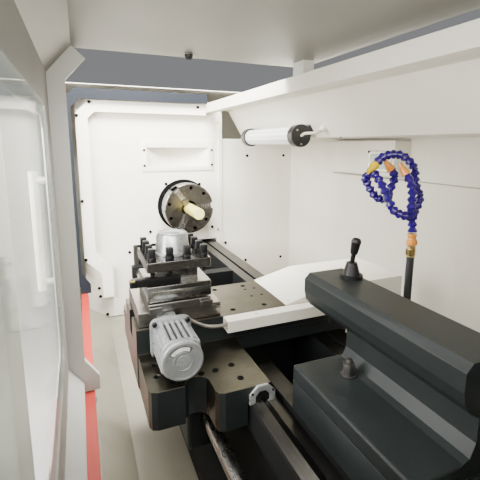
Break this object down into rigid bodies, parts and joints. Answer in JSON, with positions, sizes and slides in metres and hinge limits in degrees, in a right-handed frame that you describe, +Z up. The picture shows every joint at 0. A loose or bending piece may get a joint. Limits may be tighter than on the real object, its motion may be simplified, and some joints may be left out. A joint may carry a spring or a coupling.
{
  "type": "cnc turning lathe",
  "caption": "Guarded flat-bed turning lathe with three-jaw chuck, four-way indexing tool post, tailstock, sliding door, coolant hose and operator panel.",
  "frame": {"origin": "centre of the footprint on the floor", "axes": "+X along the spindle from the headstock to the tailstock, +Y to the machine's rear, +Z up"},
  "size_m": [2.84, 1.3644, 1.65],
  "materials": {
    "beige_cable": "beige cable",
    "black_rubber": "black rubber",
    "black_steel": "black steel",
    "blue_grey_paint": "blue grey paint",
    "blue_plastic": "blue plastic",
    "bright_steel": "bright steel",
    "cast_aluminium": "cast aluminium",
    "cast_paint": "cast paint",
    "dark_paint": "dark paint",
    "green_plastic": "green plastic",
    "ground_steel": "ground steel",
    "lamp_glass": "lamp glass",
    "red_paint": "red paint",
    "red_plastic": "red plastic",
    "tray_paint": "tray paint",
    "white_paint": "white paint",
    "window_glass": "window glass",
    "yellow_bar": "yellow bar"
  },
  "bodies": {
    "frame": {"left_pedestal": "cast_paint", "right_pedestal": "cast_paint", "bed": "ground_steel", "chip_tray": "tray_paint", "left_cover": "white_paint", "right_cover": "white_paint", "base_skirt": "blue_grey_paint", "rear_wall": "white_paint", "hood": "white_paint", "rail_beam": "white_paint", "door_frame": "blue_grey_paint", "frame_strip": "white_paint", "door_sill": "red_paint", "headstock_panel": "white_paint", "rear_bulkhead": "white_paint", "headstock_housing": "cast_paint", "front_bearing": "bright_steel", "rear_bearing": "bright_steel", "main_motor": "cast_paint", "drive_belt": "black_rubber", "work_lamp": "lamp_glass", "lamp_cable": "beige_cable", "feed_motor": "black_steel", "control_box": "white_paint"},
    "spindle": {"spindle": "bright_steel", "spindle_pulley": "cast_aluminium", "chuck_body": "bright_steel", "bar_stock": "yellow_bar"},
    "motor_shaft": {"motor_pulley": "cast_aluminium"},
    "jaw_1": {"chuck_jaw_1": "bright_steel"},
    "jaw_2": {"chuck_jaw_2": "bright_steel"},
    "jaw_3": {"chuck_jaw_3": "bright_steel"},
    "door": {"sliding_door": "white_paint", "door_window": "window_glass"},
    "feed_screw": {"feed_screw": "bright_steel"},
    "carriage": {"saddle": "ground_steel", "apron": "dark_paint", "cross_motor": "black_steel", "saddle_cover": "white_paint", "cable_duct": "white_paint", "way_wiper": "bright_steel"},
    "cross_screw": {"cross_screw": "bright_steel"},
    "cross_slide": {"cross_slide": "ground_steel", "turret_base": "ground_steel", "turret_motor": "cast_aluminium", "motor_conduits": "bright_steel"},
    "tool_post": {"turret_head": "black_steel", "turret_cap": "cast_aluminium", "turning_tool": "black_steel"},
    "tailstock": {"tailstock_base": "dark_paint", "tailstock_casting": "dark_paint", "clamp_nut": "bright_steel", "coolant_pipe": "black_rubber", "coolant_hose": "blue_plastic"},
    "quill": {"quill": "bright_steel"},
    "handwheel": {"handwheel": "black_steel"},
    "lever": {"clamp_lever": "black_steel"},
    "stop_button": {"stop_button": "red_plastic"},
    "start_button": {"start_button": "green_plastic"},
    "feed_dial": {"feed_dial": "black_steel"}
  },
  "joints": [
    {"name": "spindle_turn", "type": "hinge", "parent": "frame", "child": "spindle", "pos_m": [-0.77, 0.03915, 1.06], "axis": [1, 0, 0], "continuous": true},
    {"name": "motor_turn", "type": "hinge", "parent": "frame", "child": "motor_shaft", "pos_m": [-1.34, 0.08915, 0.2], "axis": [1, 0, 0], "continuous": true},
    {"name": "feed_screw_turn", "type": "hinge", "parent": "frame", "child": "feed_screw", "pos_m": [-0.74, -0.21285, 0.74], "axis": [1, 0, 0], "range_deg": [-23765, 5]},
    {"name": "carriage_slide", "type": "slide", "parent": "frame", "child": "carriage", "axis": [1, 0, 0], "range_m": [-0.66, 0]},
    {"name": "cross_screw_turn", "type": "hinge", "parent": "carriage", "child": "cross_screw", "pos_m": [0.261, -0.06085, 0.922], "axis": [0, 1, 0], "range_deg": [-725, 10805]},
    {"name": "cross_slide_travel", "type": "slide", "parent": "carriage", "child": "cross_slide", "axis": [0, 1, 0], "range_m": [-0.01, 0.15], "deforming": ["motor_conduits"]},
    {"name": "tool_post_turn", "type": "hinge", "parent": "cross_slide", "child": "tool_post", "pos_m": [0.285, -0.25435, 1.06], "axis": [0, 0, 1], "continuous": true},
    {"name": "door_slide", "type": "slide", "parent": "frame", "child": "door", "axis": [1, 0, 0], "range_m": [-0.78, 0]},
    {"name": "tailstock_slide", "type": "slide", "parent": "frame", "child": "tailstock", "axis": [1, 0, 0], "range_m": [0, 0.2]},
    {"name": "handwheel_turn", "type": "hinge", "parent": "tailstock", "child": "handwheel", "pos_m": [0.95, 0.03915, 1.06], "axis": [1, 0, 0], "range_deg": [0, 5760]},
    {"name": "quill_slide", "type": "slide", "parent": "tailstock", "child": "quill", "axis": [-1, 0, 0], "range_m": [0, 0.0801]},
    {"name": "clamp_lever_turn", "type": "hinge", "parent": "tailstock", "child": "lever", "pos_m": [0.581, 0.06215, 1.12], "axis": [0, 0, 1], "range_deg": [0, 90]},
    {"name": "stop_press", "type": "slide", "parent": "frame", "child": "stop_button", "axis": [0, 1, 0], "range_m": [0, 0.005], "stiffness_N_per_m": 300},
    {"name": "start_press", "type": "slide", "parent": "frame", "child": "start_button", "axis": [0, 1, 0], "range_m": [0, 0.003], "stiffness_N_per_m": 300},
    {"name": "feed_dial_turn", "type": "hinge", "parent": "frame", "child": "feed_dial", "pos_m": [0.9975, -0.66085, 1.19], "axis": [0, 1, 0], "continuous": true},
    {"name": "jaw_1_slide", "type": "slide", "parent": "spindle", "child": "jaw_1", "axis": [0, 0.9962, 0.0872], "range_m": [0, 0.012]},
    {"name": "jaw_2_slide", "type": "slide", "parent": "spindle", "child": "jaw_2", "axis": [0, -0.5736, 0.8192], "range_m": [0, 0.012]},
    {"name": "jaw_3_slide", "type": "slide", "parent": "spindle", "child": "jaw_3", "axis": [0, -0.4226, -0.9063], "range_m": [0, 0.012]}
  ],
  "couplings": [
    {"joint": "motor_turn", "follows": "spindle_turn", "ratio": 1.5151},
    {"joint": "feed_screw_turn", "follows": "carriage_slide", "rad_per_m": 628.32},
    {"joint": "cross_screw_turn", "follows": "cross_slide_travel", "rad_per_m": 1256.6},
    {"joint": "quill_slide", "follows": "handwheel_turn", "m_per_rad": 0.00079577},
    {"joint": "jaw_2_slide", "follows": "jaw_1_slide", "ratio": 1},
    {"joint": "jaw_3_slide", "follows": "jaw_1_slide", "ratio": 1}
  ]
}
